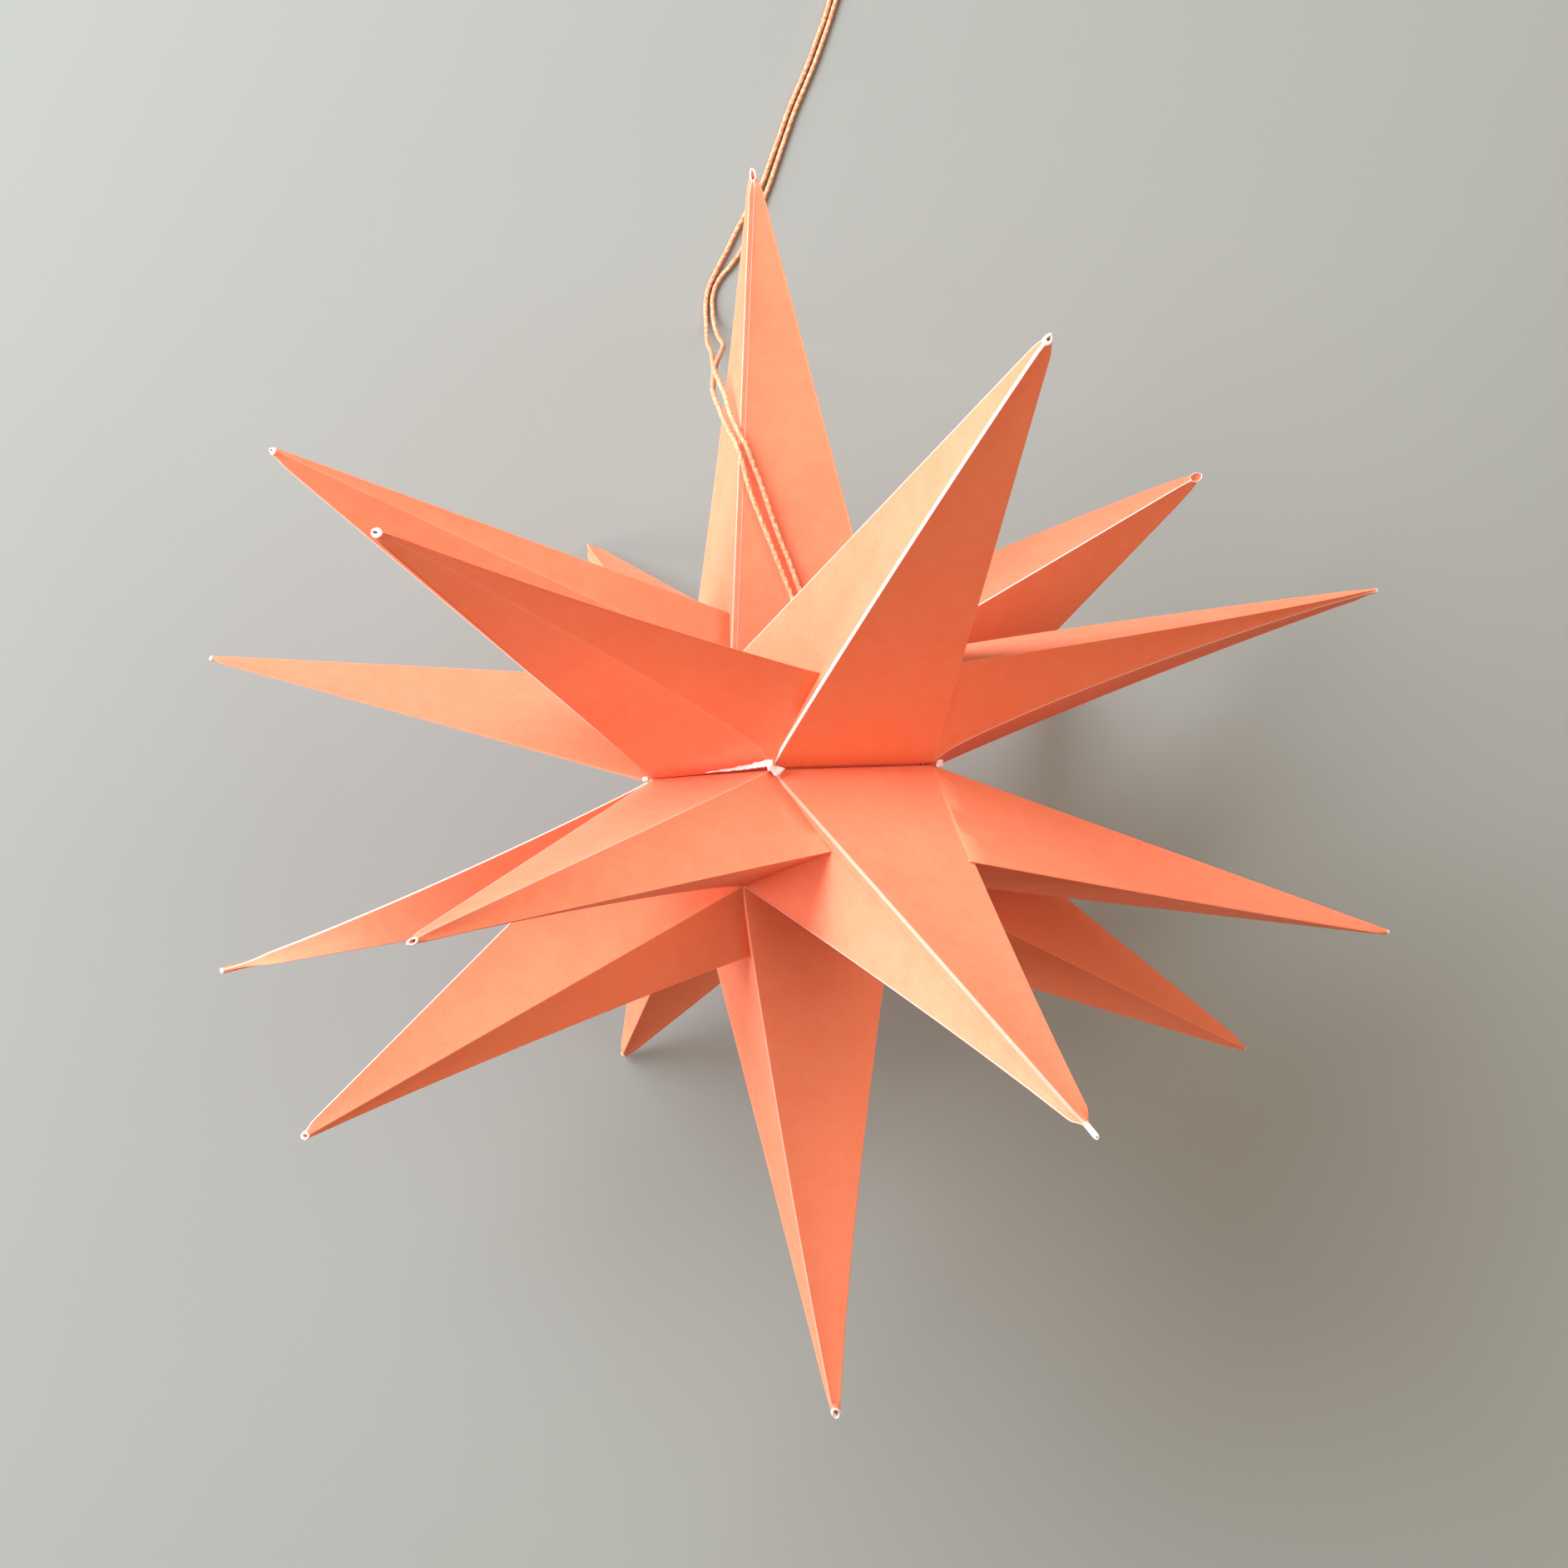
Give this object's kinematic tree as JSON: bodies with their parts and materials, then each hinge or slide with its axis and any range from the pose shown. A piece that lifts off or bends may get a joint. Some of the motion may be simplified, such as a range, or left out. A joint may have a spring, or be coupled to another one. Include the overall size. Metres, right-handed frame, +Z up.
{
  "type": "paper star",
  "caption": "Hanging star of coral card, folded into long hollow four-sided points in two mirrored halves tied at a seam, with a twine hanging cord.",
  "frame": {"origin": "centre of the star's box on the surface that it lies on, measured without the cord", "axes": "+X to the right and +Y towards the pole point that the cord leaves beside, as the star is seen from above; +Z up from the surface"},
  "size_m": [0.4342, 0.5938, 0.3692],
  "materials": {
    "card": "matt coloured card with a white core that shows at raw edges and worn folds",
    "thread": "white cotton thread",
    "twine": "soft twisted peach twine"
  },
  "bodies": {
    "root": {"top_pole_point": "card", "top_front_point": "card", "top_right_point": "card", "top_back_point": "card", "top_left_point": "card", "top_front_left_point": "card", "top_back_left_point": "card", "top_front_right_point": "card", "top_back_right_point": "card", "bottom_pole_point": "card", "bottom_front_point": "card", "bottom_right_point": "card", "bottom_back_point": "card", "bottom_left_point": "card", "bottom_front_left_point": "card", "bottom_back_left_point": "card", "bottom_front_right_point": "card", "bottom_back_right_point": "card", "tie_front": "thread", "tie_right": "thread", "tie_back_right": "thread", "tie_back": "thread", "tie_back_left": "thread", "tie_left": "thread", "cord_left_strand": "twine", "cord_right_strand": "twine", "cord_knot": "twine"}
  },
  "joints": []
}
